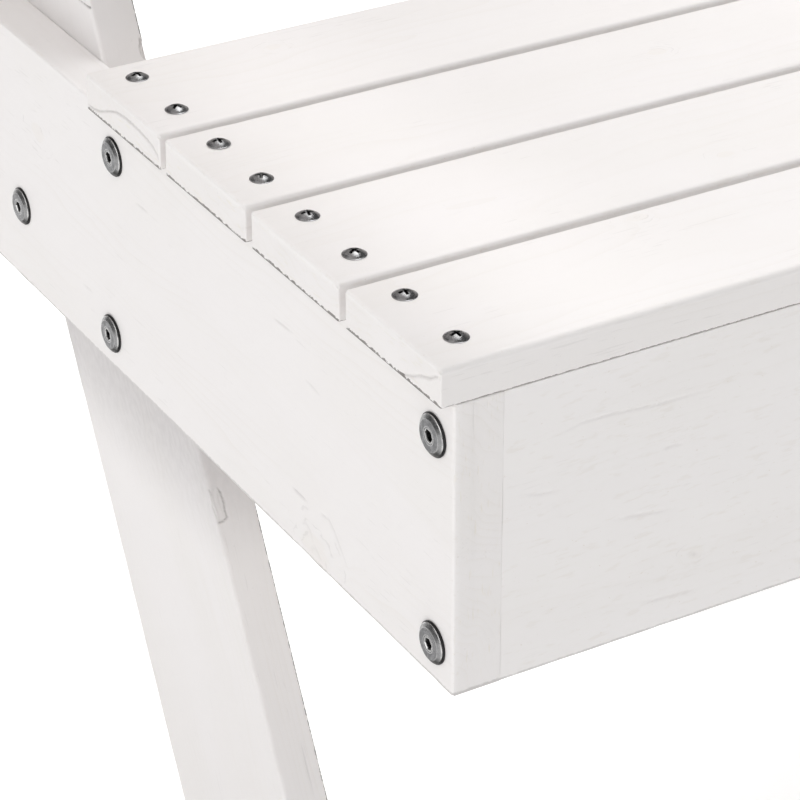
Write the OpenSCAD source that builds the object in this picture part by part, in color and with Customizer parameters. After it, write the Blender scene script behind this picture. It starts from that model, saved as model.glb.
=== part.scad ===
// Adirondack chair with slanted legs, made of flat boards held by bolts and screws.
// +X is the right side seen from the front, +Y points to the back, +Z is up.
// The origin is on the floor, under the middle of the whole chair.

/* [Boards] */
// Thickness of the rails, legs, back rails and braces
board_t = 23.5; // [20:0.5:24]
// Height of the side rails and of the aprons
rail_h = 141; // [135:1:145]
// Thickness of the aprons and of the batten
apron_t = 28; // [24:1:28]
// Width of the leg boards
leg_w = 138; // [130:1:142]
// Rounding of the boards' long edges
edge_r = 1.5; // [1:0.5:3]

/* [Seat] */
// Distance between the outer faces of the side rails
rail_span = 580; // [560:5:640]
// Length of the side rails
rail_len = 765; // [762:1:780]
// Height of the side rails' top edges above the floor
rail_top = 425; // [400:1:440]
// Width of a seat slat
slat_w = 77.5; // [76:0.5:78]
// Thickness of a seat or back slat
slat_t = 18; // [16:0.5:19]
// Gap between seat slats
slat_gap = 5.5; // [4:0.5:6]
// How far the seat slats reach past each rail
slat_overhang = 6; // [2:0.5:10]
// Rounding of the seat slats' upper front edge
slat_r = 3; // [2:0.5:4]
// Rounding of the seat slats' other long edges
slat_edge_r = 1; // [0.5:0.5:1.5]
// Height of the batten under the rearmost seat slat
batten_h = 80; // [60:1:85]
// Distance from the seat's front to the middle of that batten
batten_y = 313; // [311:1:313]

/* [Legs] */
// Lean of the front legs, going back as they rise
front_lean = 27.1; // [25:0.1:28]
// Front edge of the front legs at the height of the rails' top edges
front_leg_y = 372; // [370:1:376]
// Lean of the rear legs, going forward as they rise
rear_lean = 20; // [16:0.5:20]
// Front edge of the rear legs at the height of the rails' top edges
rear_leg_y = 534; // [532:1:536]

/* [Back] */
// Front face of the back at the height of the rails' top edges
back_y = 425; // [422:1:430]
// Length of the middle back slat, measured from the rails' top edges
back_len = 640; // [600:5:680]
// Width of a back slat at its foot
back_slat_w = 84; // [80:1:84]
// Width of a back slat at its top
back_slat_top_w = 100; // [90:1:100]
// Distance between back slats' middle lines at their feet
back_pitch = 90; // [88:0.5:90]
// Angle between neighbouring back slats
fan_step = 1.6; // [1.2:0.1:1.6]
// Radius of the arched top line
arch_r = 560; // [500:10:700]

/* [Arms] */
// Height of the arms' undersides above the rails' top edges
arm_rise = 231; // [228:1:240]
// Thickness of the arms
arm_t = 22; // [20:1:26]
// Width of the arms
arm_w = 135; // [120:1:150]
// Length of the arms
arm_len = 675; // [665:5:700]
// Rounding of the arms' front corners
arm_corner_r = 45; // [20:1:55]
// Rise angle of the arm braces
brace_rise = 30; // [29:0.5:30]
// Width of the arm braces
brace_w = 90; // [80:1:92]

/* [Fasteners] */
// Diameter of the bolts
bolt_d = 8; // [6:1:8]
// Diameter of the bolt heads
bolt_head_d = 18.5; // [16:0.5:19]
// Diameter of the bolt washers
washer_d = 19.5; // [19:0.5:22]
// Diameter of the screws
screw_d = 5; // [4:0.5:5]
// Diameter of the screw heads
screw_head_d = 11; // [9:0.5:12]

/* [Hidden] */
$fn = 48;

paint = "whitesmoke";
steel = "dimgray";

// Distances of the rail bolts below the rails' top edges
upper_bolt_drop = 21;
lower_bolt_drop = 122;
// Play of bolts and screws in their holes, on the radius
hole_play = 0.1;
// Length that cuts right through any board
through = 2000;
// How far a cut reaches past the surface that it opens
cut = 1;

half_span = rail_span / 2;
// Inner faces of the rails, then of the legs
rail_in = half_span - board_t;
leg_in = rail_in - board_t;
arm_z = rail_top + arm_rise;
arm_front_y = -10;
arm_rear_corner_r = 12;
// Length and depth of the cut that narrows an arm to the rear
arm_taper_len = 300;
arm_taper = 35;

// Floor-level reach of the whole chair, front to rear
rear_foot_y = rear_leg_y + rail_top * tan(rear_lean) + leg_w / cos(rear_lean);
mid_y = (arm_front_y + rear_foot_y) / 2;

// Seat slats
slat_pitch = slat_w + slat_gap;
slat_len = rail_span + 2 * slat_overhang;
slat_order = [0, 1, 2, 3];
seat_screw_ys = [20, 61];
seat_screw_in = 13;
seat_screw_x = half_span - seat_screw_in;

// Back, in its own leaning frame: X across, Y through it to the rear, Z up it
back_foot = 12;
arch_facets = 96;
back_rail_h = 70;
lower_rail_foot = 16;
middle_rail_foot = 195;
middle_rail_h = 55;
top_batten_foot = 485;
top_batten_h = 55;
top_batten_len = 500;
back_order = [-2, -1, 0, 1, 2];
back_screw_side = 20;

// Arm braces, in the plane of the rails: front corner of their top ends
brace_front_y = 160;
brace_top_len = brace_w / sin(brace_rise);
brace_mid_y = brace_front_y + brace_top_len / 2;

// Fastener sizes
bolt_rim_h = 0.6;
bolt_chamfer_w = 2.6;
bolt_chamfer_h = 1.3;
// How far a shank reaches up into its head
head_overlap = 1;
washer_t = 0.8;
socket_d = 5.8;
socket_depth = 4;
end_bolt_len = 70;
cross_dowel_d = 12;
cross_dowel_len = 18;
cross_dowel_in = 60;
hex_sides = 6;
nut_d = 14.4;
nut_h = 6.5;
screw_head_h = 2.2;
recess_w = 1.3;
recess_depth = 1.3;
seat_screw_len = 45;
back_screw_len = 34;
arm_screw_len = 50;

// Bolt places in the plane of the rails, as [distance from the seat's front, height]
upper_z = rail_top - upper_bolt_drop;
lower_z = rail_top - lower_bolt_drop;
apron_bolt_y = 15.3;
front_apron_bolts = [[apron_bolt_y, upper_z], [apron_bolt_y, lower_z]];
batten_bolts = [[batten_y, upper_z]];
rear_apron_y = rail_len - apron_bolt_y;
rear_apron_bolts = [[rear_apron_y, upper_z], [rear_apron_y, lower_z]];
front_leg_bolt_ys = [325, 427.5];
front_leg_bolt_drop = 96.5;
front_leg_bolts = [
    [front_leg_bolt_ys[0], lower_z],
    [front_leg_bolt_ys[1], rail_top - front_leg_bolt_drop]
];
rear_leg_mid_y = rear_leg_y + leg_w / cos(rear_lean) / 2;
rear_leg_bolt_drops = [36, 104];
rear_leg_bolts = [for (drop = rear_leg_bolt_drops)
    [rear_leg_mid_y + drop * tan(rear_lean), rail_top - drop]];

// Where the middle lines of a brace and its leg cross, and the bolts to either side of it
leg_mid_y = front_leg_y + leg_w / cos(front_lean) / 2;
brace_cross_rise = (arm_rise - (leg_mid_y - brace_mid_y) * tan(brace_rise))
    / (1 + tan(front_lean) * tan(brace_rise));
brace_cross_y = leg_mid_y + brace_cross_rise * tan(front_lean);
brace_bolt_side = 34;
brace_bolts = [for (s = [-1, 1]) [
    brace_cross_y + s * brace_bolt_side * cos(brace_rise),
    rail_top + brace_cross_rise - s * brace_bolt_side * sin(brace_rise)
]];

// Bolts through the legs into the back rails: middles of those rails, up the back
back_rail_mid = slat_t + board_t / 2;
back_bolt_rises = [lower_rail_foot + back_rail_h / 2, middle_rail_foot + middle_rail_h / 2];
back_rail_bolt_places = [for (v = back_bolt_rises) [
    back_y + v * sin(front_lean) + back_rail_mid * cos(front_lean),
    rail_top + v * cos(front_lean) - back_rail_mid * sin(front_lean)
]];

// Arm screws, as [x, y]
arm_screw_x = [leg_in + board_t / 2, rail_in + board_t / 2];
arm_leg_y = leg_mid_y + arm_rise * tan(front_lean);
arm_screw_side = 40;
arm_screw_places = [
    [arm_screw_x[0], arm_leg_y - arm_screw_side], [arm_screw_x[0], arm_leg_y + arm_screw_side],
    [arm_screw_x[1], brace_mid_y - arm_screw_side], [arm_screw_x[1], brace_mid_y + arm_screw_side]
];

// ---- Shared shapes ----

// Puts the seat's front and the floor in the chair's own frame
module placed() {
    translate([0, -mid_y, 0]) children();
}

module mirrored() {
    mirror([1, 0, 0]) children();
}

module both_sides() {
    children();
    mirrored() children();
}

// Cross-section of a board with rounded long edges, one corner at the origin
module section(w, t, r) {
    translate([r, 0]) square([w - 2 * r, t]);
    translate([0, r]) square([w, t - 2 * r]);
    for (x = [r, w - r], y = [r, t - r]) translate([x, y]) circle(r);
}

// Cross-section of a seat slat, with its upper front edge rounded more than the other edges
module slat_section() {
    translate([slat_r, slat_t - slat_r]) circle(slat_r);
    difference() {
        section(slat_w, slat_t, slat_edge_r);
        translate([-cut, slat_t - slat_r]) square(slat_r + cut);
    }
}

// Board along X, centred on it, with its low front corner at [y, z]
module cross_board(len, y, z, depth, height, r) {
    translate([-len / 2, y, z]) rotate([90, 0, 90]) linear_extrude(len) section(depth, height, r);
}

// Board in the plane of a leg on the left side, cut flat at two heights
module leaning_board(x, front_y, at_z, lean, w, z_low, z_high) {
    intersection() {
        translate([x, front_y, at_z]) rotate([-lean, 0, 0]) translate([0, 0, -through / 2])
            linear_extrude(through) section(board_t, w, edge_r);
        translate([x - cut, -through / 2, z_low])
            cube([board_t + 2 * cut, 2 * through, z_high - z_low]);
    }
}

// Puts things made along Z, head up, on the left side's face at x, pointing outward
module on_left(x, places) {
    for (p = places) translate([x, p[0], p[1]]) rotate([0, -90, 0]) children();
}

// Straight hole along X through everything on the left side
module left_holes(places, d) {
    on_left(0, places) cylinder(d = d + 2 * hole_play, h = through / 2);
}

// Hole along X on both sides, from the outer face inward to a depth
module end_holes(places, d, depth) {
    both_sides() on_left(-half_span + depth, places)
        cylinder(d = d + 2 * hole_play, h = depth + cut);
}

// ---- Fasteners, with their seats at Z = 0 and their shanks below it ----

module socket_bolt(len) {
    head_top = washer_t + bolt_rim_h + bolt_chamfer_h;
    difference() {
        union() {
            rotate_extrude() polygon([
                [0, washer_t], [bolt_head_d / 2, washer_t], [bolt_head_d / 2, washer_t + bolt_rim_h],
                [bolt_head_d / 2 - bolt_chamfer_w, head_top], [0, head_top]
            ]);
            translate([0, 0, -len]) cylinder(d = bolt_d, h = len + washer_t + head_overlap);
        }
        translate([0, 0, head_top - socket_depth])
            cylinder(d = socket_d, h = socket_depth + cut, $fn = hex_sides);
    }
}

module bolt_hole_through(thickness) {
    translate([0, 0, -cut]) cylinder(d = bolt_d + 2 * hole_play, h = thickness + 2 * cut);
}

module washer() {
    difference() {
        cylinder(d = washer_d, h = washer_t);
        bolt_hole_through(washer_t);
    }
}

module nut() {
    difference() {
        cylinder(d = nut_d, h = nut_h, $fn = hex_sides);
        bolt_hole_through(nut_h);
    }
}

module dome_screw(len) {
    dome_r = (screw_head_d * screw_head_d / 4 + screw_head_h * screw_head_h) / (2 * screw_head_h);
    difference() {
        union() {
            rotate_extrude() intersection() {
                translate([0, screw_head_h - dome_r]) circle(dome_r);
                square([screw_head_d / 2, screw_head_h]);
            }
            translate([0, 0, -len]) cylinder(d = screw_d, h = len + head_overlap / 2);
        }
        for (a = [0, 90]) rotate(a)
            translate([-screw_head_d / 4, -recess_w / 2, screw_head_h - recess_depth])
                cube([screw_head_d / 2, recess_w, recess_depth + cut]);
    }
}

// Hole for a screw's shank, a little deeper than the screw
module screw_hole(len) {
    translate([0, 0, -len - cut]) cylinder(d = screw_d + 2 * hole_play, h = len + 2 * cut);
}

// ---- Fastener places ----

module at_seat_screws(slats) {
    for (i = slats, x = [-seat_screw_x, seat_screw_x], y = seat_screw_ys)
        translate([x, i * slat_pitch + y, rail_top + slat_t]) children();
}

module seat_screw_holes(slats) {
    at_seat_screws(slats) screw_hole(seat_screw_len);
}

module at_arm_screws() {
    both_sides() for (p = arm_screw_places) translate([p[0], p[1], arm_z + arm_t]) children();
}

module arm_screw_holes() {
    at_arm_screws() screw_hole(arm_screw_len);
}

module in_back() {
    translate([0, back_y, rail_top]) rotate([-front_lean, 0, 0]) children();
}

// Middle line of a back slat, fanned out about a point below the seat
module on_back_slat(i) {
    translate([i * back_pitch, 0, 0]) rotate([0, i * fan_step, 0]) children();
}

module at_back_screws() {
    heights = [
        lower_rail_foot + back_rail_h / 2,
        middle_rail_foot + middle_rail_h / 2,
        top_batten_foot + top_batten_h / 2
    ];
    for (i = back_order, v = heights, s = [-1, 1])
        on_back_slat(i) translate([s * back_screw_side, 0, v]) rotate([90, 0, 0]) children();
}

module back_screw_holes() {
    in_back() at_back_screws() screw_hole(back_screw_len);
}

// ---- Frame ----

module side_rail() {
    color(paint) placed() difference() {
        translate([-half_span, rail_len, rail_top - rail_h]) rotate([90, 0, 0])
            linear_extrude(rail_len) section(board_t, rail_h, edge_r);
        left_holes(front_apron_bolts, bolt_d);
        left_holes(batten_bolts, bolt_d);
        left_holes(rear_apron_bolts, bolt_d);
        left_holes(front_leg_bolts, bolt_d);
        left_holes(rear_leg_bolts, bolt_d);
        seat_screw_holes(slat_order);
    }
}

module front_leg() {
    color(paint) placed() difference() {
        leaning_board(-rail_in, front_leg_y, rail_top, front_lean, leg_w, 0, arm_z);
        left_holes(front_leg_bolts, bolt_d);
        left_holes(brace_bolts, bolt_d);
        left_holes(back_rail_bolt_places, bolt_d);
        arm_screw_holes();
    }
}

module rear_leg() {
    color(paint) placed() difference() {
        leaning_board(-rail_in, rear_leg_y, rail_top, -rear_lean, leg_w, 0, rail_top);
        left_holes(rear_leg_bolts, bolt_d);
    }
}

// Apron or batten between the rails, with bolt holes, and cross dowel holes open to its inner face
module apron(y, height, places, inward) {
    color(paint) placed() difference() {
        cross_board(2 * rail_in, y, rail_top - height, apron_t, height, edge_r);
        end_holes(places, bolt_d, end_bolt_len);
        both_sides() for (p = places)
            translate([-half_span + cross_dowel_in, p[0] - inward * cross_dowel_len / 2, p[1]])
                rotate([-90 * inward, 0, 0]) cylinder(d = cross_dowel_d + 2 * hole_play, h = apron_t);
    }
}

module seat_slat(i) {
    color(paint) placed() difference() {
        translate([-slat_len / 2, i * slat_pitch, rail_top]) rotate([90, 0, 90]) linear_extrude(slat_len)
            slat_section();
        seat_screw_holes([i]);
    }
}

// ---- Back ----

// Rail of the back between the front legs, with its end bolts and cross dowels
module back_rail(foot, height, bolt_place) {
    color(paint) placed() difference() {
        in_back() cross_board(2 * leg_in, slat_t, foot, board_t, height, edge_r);
        end_holes([bolt_place], bolt_d, end_bolt_len + board_t);
        back_screw_holes();
        back_dowels(cross_dowel_d + 2 * hole_play, board_t, foot + height / 2);
    }
}

// Cross dowels of one back rail, or their holes, from the same depth to the rear
module back_dowels(d, len, rise) {
    both_sides() in_back() translate([-rail_in + cross_dowel_in, back_rail_mid - cross_dowel_len / 2, rise])
        rotate([-90, 0, 0]) cylinder(d = d, h = len);
}

module top_back_batten() {
    color(paint) placed() difference() {
        in_back() cross_board(top_batten_len, slat_t, top_batten_foot, slat_t, top_batten_h, edge_r);
        back_screw_holes();
    }
}

module back_slat(i) {
    color(paint) placed() difference() {
        in_back() translate([0, slat_t, 0]) rotate([90, 0, 0]) linear_extrude(slat_t) intersection() {
            translate([i * back_pitch, 0]) rotate(-i * fan_step) polygon([
                [-back_slat_w / 2, back_foot], [back_slat_w / 2, back_foot],
                [back_slat_top_w / 2, back_len + back_pitch], [-back_slat_top_w / 2, back_len + back_pitch]
            ]);
            translate([0, back_len - arch_r]) circle(arch_r, $fn = arch_facets);
            translate([-half_span, back_foot]) square([rail_span, back_len]);
        }
        back_screw_holes();
    }
}

// ---- Arms ----

module arm() {
    far_y = arm_len - arm_taper_len;
    color(paint) placed() difference() {
        translate([-leg_in - arm_w, arm_front_y, arm_z]) linear_extrude(arm_t) difference() {
            union() {
                translate([arm_corner_r, 0]) square([arm_w - 2 * arm_corner_r, arm_len]);
                translate([0, arm_corner_r]) square([arm_w, arm_len - arm_corner_r - arm_rear_corner_r]);
                translate([0, arm_corner_r]) square([arm_w - arm_rear_corner_r, arm_len - arm_corner_r]);
                for (x = [arm_corner_r, arm_w - arm_corner_r])
                    translate([x, arm_corner_r]) circle(arm_corner_r);
                translate([arm_w - arm_rear_corner_r, arm_len - arm_rear_corner_r])
                    circle(arm_rear_corner_r);
            }
            polygon([[-cut, far_y], [0, far_y], [arm_taper, arm_len + cut], [-cut, arm_len + cut]]);
        }
        arm_screw_holes();
    }
}

module arm_brace() {
    // Cut off flush with the leg's rear edge
    rear_edge_y = front_leg_y + leg_w / cos(front_lean);
    color(paint) placed() difference() {
        intersection() {
            translate([-half_span, brace_front_y, arm_z]) rotate([90 - brace_rise, 0, 0])
                translate([0, 0, -through / 2]) linear_extrude(through) section(board_t, brace_w, edge_r);
            leaning_board(-half_span, rear_edge_y - through, rail_top, front_lean,
                through * cos(front_lean), rail_top, arm_z);
        }
        left_holes(brace_bolts, bolt_d);
        arm_screw_holes();
    }
}

// ---- Fastener groups ----

module rail_end_bolts() {
    color(steel) placed() both_sides() {
        on_left(-half_span, concat(front_apron_bolts, batten_bolts, rear_apron_bolts))
            socket_bolt(end_bolt_len);
    }
}

module back_rail_bolts() {
    color(steel) placed() both_sides() on_left(-rail_in, back_rail_bolt_places) socket_bolt(end_bolt_len);
}

module cross_dowels() {
    places = concat(front_apron_bolts, batten_bolts, rear_apron_bolts);
    color(steel) placed() difference() {
        union() {
            both_sides() for (p = places) translate([-half_span + cross_dowel_in, p[0], p[1]])
                rotate([90, 0, 0]) cylinder(d = cross_dowel_d, h = cross_dowel_len, center = true);
            for (v = back_bolt_rises) back_dowels(cross_dowel_d, cross_dowel_len, v);
        }
        end_holes(places, bolt_d, end_bolt_len);
        end_holes(back_rail_bolt_places, bolt_d, end_bolt_len + board_t);
    }
}

module leg_bolts() {
    color(steel) placed() both_sides()
        on_left(-half_span, concat(front_leg_bolts, rear_leg_bolts, brace_bolts))
            socket_bolt(2 * board_t + washer_t + nut_h);
}

module leg_bolt_nuts() {
    color(steel) placed() both_sides()
        on_left(-leg_in + washer_t + nut_h, concat(front_leg_bolts, rear_leg_bolts, brace_bolts)) nut();
}

module bolt_washers() {
    color(steel) placed() both_sides() {
        on_left(-half_span, concat(front_apron_bolts, batten_bolts, rear_apron_bolts,
            front_leg_bolts, rear_leg_bolts, brace_bolts)) washer();
        on_left(-rail_in, back_rail_bolt_places) washer();
        on_left(-leg_in + washer_t, concat(front_leg_bolts, rear_leg_bolts, brace_bolts)) washer();
    }
}

module seat_screws() {
    color(steel) placed() at_seat_screws(slat_order) dome_screw(seat_screw_len);
}

module back_screws() {
    color(steel) placed() in_back() at_back_screws() dome_screw(back_screw_len);
}

module arm_screws() {
    color(steel) placed() at_arm_screws() dome_screw(arm_screw_len);
}

side_rail();  // left_side_rail
mirrored() side_rail();  // right_side_rail
front_leg();  // left_front_leg
mirrored() front_leg();  // right_front_leg
rear_leg();  // left_rear_leg
mirrored() rear_leg();  // right_rear_leg
apron(0, rail_h, front_apron_bolts, 1);  // front_apron
apron(batten_y - apron_t / 2, batten_h, batten_bolts, 1);  // rear_seat_batten
apron(rail_len - apron_t, rail_h, rear_apron_bolts, -1);  // rear_apron
seat_slat(slat_order[0]);  // seat_slat_1
seat_slat(slat_order[1]);  // seat_slat_2
seat_slat(slat_order[2]);  // seat_slat_3
seat_slat(slat_order[3]);  // seat_slat_4
back_rail(lower_rail_foot, back_rail_h, back_rail_bolt_places[0]);  // lower_back_rail
back_rail(middle_rail_foot, middle_rail_h, back_rail_bolt_places[1]);  // middle_back_rail
top_back_batten();
back_slat(back_order[0]);  // back_slat_1
back_slat(back_order[1]);  // back_slat_2
back_slat(back_order[2]);  // back_slat_3
back_slat(back_order[3]);  // back_slat_4
back_slat(back_order[4]);  // back_slat_5
arm();  // left_arm
mirrored() arm();  // right_arm
arm_brace();  // left_arm_brace
mirrored() arm_brace();  // right_arm_brace
rail_end_bolts();
back_rail_bolts();
cross_dowels();
leg_bolts();
leg_bolt_nuts();
bolt_washers();
seat_screws();
back_screws();
arm_screws();
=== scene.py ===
"""Looks of the painted pine chair: boards with real edges, cracks and knots, and turned steel fasteners."""

import math
from functools import partial
from operator import mul

import bmesh
import bpy
import numpy as np
from mathutils import Matrix, Vector


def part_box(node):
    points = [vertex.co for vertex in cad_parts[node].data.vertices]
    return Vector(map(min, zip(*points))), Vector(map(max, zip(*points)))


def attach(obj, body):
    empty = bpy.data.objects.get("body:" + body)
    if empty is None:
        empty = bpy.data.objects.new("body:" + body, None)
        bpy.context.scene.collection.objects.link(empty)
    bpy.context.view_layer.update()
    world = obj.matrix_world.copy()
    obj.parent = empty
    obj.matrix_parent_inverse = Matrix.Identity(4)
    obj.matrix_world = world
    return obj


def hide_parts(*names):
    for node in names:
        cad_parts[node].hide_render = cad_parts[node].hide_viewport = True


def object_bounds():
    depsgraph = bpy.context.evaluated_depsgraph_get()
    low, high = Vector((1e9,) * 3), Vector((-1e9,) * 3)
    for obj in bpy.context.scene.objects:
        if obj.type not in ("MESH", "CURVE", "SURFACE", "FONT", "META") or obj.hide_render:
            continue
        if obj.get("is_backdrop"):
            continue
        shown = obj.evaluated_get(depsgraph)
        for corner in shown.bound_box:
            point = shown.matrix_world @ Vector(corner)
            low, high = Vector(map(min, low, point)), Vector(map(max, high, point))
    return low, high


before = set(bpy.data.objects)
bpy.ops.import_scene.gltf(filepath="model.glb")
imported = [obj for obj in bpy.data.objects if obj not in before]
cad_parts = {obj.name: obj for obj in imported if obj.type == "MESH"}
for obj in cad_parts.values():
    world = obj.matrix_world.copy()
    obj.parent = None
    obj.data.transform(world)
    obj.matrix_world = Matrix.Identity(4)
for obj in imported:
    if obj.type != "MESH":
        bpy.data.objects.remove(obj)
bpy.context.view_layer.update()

MM = 0.001
RIGHT = Vector((1, 0, 0))
LEFT = Vector((-1, 0, 0))
BACK = Vector((0, 1, 0))
UP = Vector((0, 0, 1))

# Angles and sizes of the design that the nodes' boxes don't give, in degrees and millimetres.
# W is a width, T a thickness, R a radius
FRONT_LEAN = 27.1
REAR_LEAN = 20.0
LEG_W = 138.0
BACK_Y = 425.0
SLAT_T = 18.0
BOARD_T = 23.5
BACK_FOOT = 12.0
BACK_SLAT_W = 84.0
BACK_SLAT_TOP_W = 100.0
BACK_SLAT_FLARE_AT = 730.0
BACK_PITCH = 90.0
FAN_STEP = 1.6
ARCH_R = 560.0
ARCH_MID = 80.0
ARM_CORNER_R = 45.0
ARM_REAR_R = 12.0
ARM_INNER_R = 2.0
ARM_TAPER = 35.0
ARM_TAPER_LEN = 300.0
BRACE_W = 90.0
BRACE_RISE = 30.0
DOWEL_HOLE_R = 6.1
DRILL_START = 2
DRILL_DEPTH = 16

# Grid lines of a board's mesh are at least this far apart, in millimetres
CLOSEST = 0.04

# Points this near to a face, in millimetres, take its cracks and chips
FACE_DEPTH = 1.6

# Unevenness of sawn and painted wood, in millimetres: its mean depth, and its waves' length and height
RELIEF = 0.16
BROAD_WAVES = (210, 0.09)
NARROW_WAVES = (36, 0.035)

# How far down the painted shade under a side rail reaches, in millimetres
PAINTED_SHADE_REACH = 100.0

# ---- Boards ----


def place_at(origin, along, across):
    """Matrix from a board's own millimetres (along, across and through it) to the chair's metres."""
    along, across = along.normalized(), across.normalized()
    through = along.cross(across)
    m = Matrix((along, across, through)).transposed().to_4x4() @ Matrix.Scale(MM, 4)
    m.translation = origin
    return m


def grid_lines(length, step, starts, ends, extra):
    """Places of grid lines: even ones, and the given ones counted from either end."""
    count = max(1, math.ceil(length / step))
    marks = [length * k / count for k in range(1, count)]
    marks += list(starts) + [length - m for m in ends] + list(extra)
    kept = [0.0]
    for m in sorted(marks):
        if m - kept[-1] > CLOSEST and length - m > CLOSEST:
            kept.append(m)
    return np.array(kept + [length])


def arris_lines(radius, count=4):
    """Places across a rounded edge, one for each step of its angle, and one just beyond it."""
    return [radius * (1 - math.cos(math.pi / 2 * k / count)) for k in range(1, count + 1)] + [radius + 0.4]


def corner_lines(radius, count=9):
    """Places along a rounded corner of the outline. A small one needs only its end."""
    if radius <= 3:
        return [radius]
    return [radius * (1 - math.tan(math.pi / 4 * k / count)) for k in range(count)]


def smooth_noise(rng, wave, size, count=6):
    """A smooth random function of one or two coordinates, with waves near the given length."""
    directions = rng.normal(size=(count, 2))
    directions /= np.linalg.norm(directions, axis=1)[:, None]
    waves = wave * rng.uniform(0.6, 1.7, count)
    phases = rng.uniform(0, 2 * math.pi, count)

    def value(p, q=0.0):
        total = 0.0
        for (a, b), wavelength, phase in zip(directions, waves, phases):
            total = total + np.sin(2 * math.pi * (a * p + b * q) / wavelength + phase)
        return size * total / math.sqrt(count)

    return value


def near_line(p, q, line):
    """Distance of each point from a polyline, and how far along it the nearest place is, 0 to 1."""
    best, where = np.full(np.shape(p), 1e9), np.zeros(np.shape(p))
    for k, ((p0, q0), (p1, q1)) in enumerate(zip(line, line[1:])):
        dp, dq = p1 - p0, q1 - q0
        t = np.clip(((p - p0) * dp + (q - q0) * dq) / (dp * dp + dq * dq), 0, 1)
        d = np.hypot(p - p0 - t * dp, q - q0 - t * dq)
        closer = d < best
        best = np.where(closer, d, best)
        where = np.where(closer, (k + t) / (len(line) - 1), where)
    return best, where


class Features:
    """Cracks, chips and dents of one board, as depths at points of its own surface."""

    def __init__(self, length, width, thick):
        self.size = (length, width, thick)
        self.items = []

    def on(self, face, u, v, w):
        """Whether points lie on a face, with that face's two coordinates."""
        _, width, thick = self.size
        return {
            "start": (u < FACE_DEPTH, v, w), "low": (w < FACE_DEPTH, u, v),
            "high": (w > thick - FACE_DEPTH, u, v), "far": (v > width - FACE_DEPTH, u, w),
        }[face]

    def crack(self, face, line, width, depth, fade, dark):
        """Groove along a line. fade: the shares of its length over which its two ends run out."""
        self.items.append(("crack", face, line, width, depth, fade, dark))
        return self

    def hairline(self, face, line, dark):
        return self.crack(face, line, 0.40, 0.35, (0.3, 0.3), dark)

    def chip(self, face, middle, reach, depth, rough, dark):
        """Shallow bowl with an uneven rim."""
        self.items.append(("chip", face, middle, reach, depth, rough, dark))
        return self

    def depths(self, u, v, w):
        depth, dark = np.zeros(len(u)), np.zeros(len(u))
        for kind, face, *rest in self.items:
            here, p, q = self.on(face, u, v, w)
            if kind == "crack":
                line, width, deep, (fade_in, fade_out), shade = rest
                wobble = 0.35 * np.sin(p * 1.9 + 0.4) * np.cos(q * 2.3) + 0.2 * np.sin(p * 4.7 + q * 3.9)
                d, t = near_line(p + wobble * width, q + wobble * width, line)
                strength = np.clip(np.minimum(t / max(fade_in, 1e-6), (1 - t) / max(fade_out, 1e-6)), 0, 1)
                cut = np.exp(-(d / width) ** 2) * strength * here
                depth = np.maximum(depth, deep * cut)
                dark = np.maximum(dark, shade * cut)
            else:
                (p0, q0), (rp, rq), deep, rough, shade = rest
                edge = 1 + rough * (np.sin(p * 0.9 + q * 1.7) + np.sin(p * 1.7 - q * 0.8 + 1)) / 2
                d = ((np.abs(p - p0) / rp) ** 3 + (np.abs(q - q0) / rq) ** 3) ** (1 / 3) / edge
                bowl = np.clip((1 - d) / 0.18, 0, 1) * here
                bowl = bowl * bowl * (3 - 2 * bowl)
                ridge = 1 + 0.25 * np.sin(q * 2.6 + np.sin(p * 0.5))
                depth = np.maximum(depth, deep * bowl * ridge)
                rim = np.exp(-((d - 0.95) / 0.07) ** 2) * here
                dark = np.maximum(dark, shade * rim)
        return depth, dark


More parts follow.
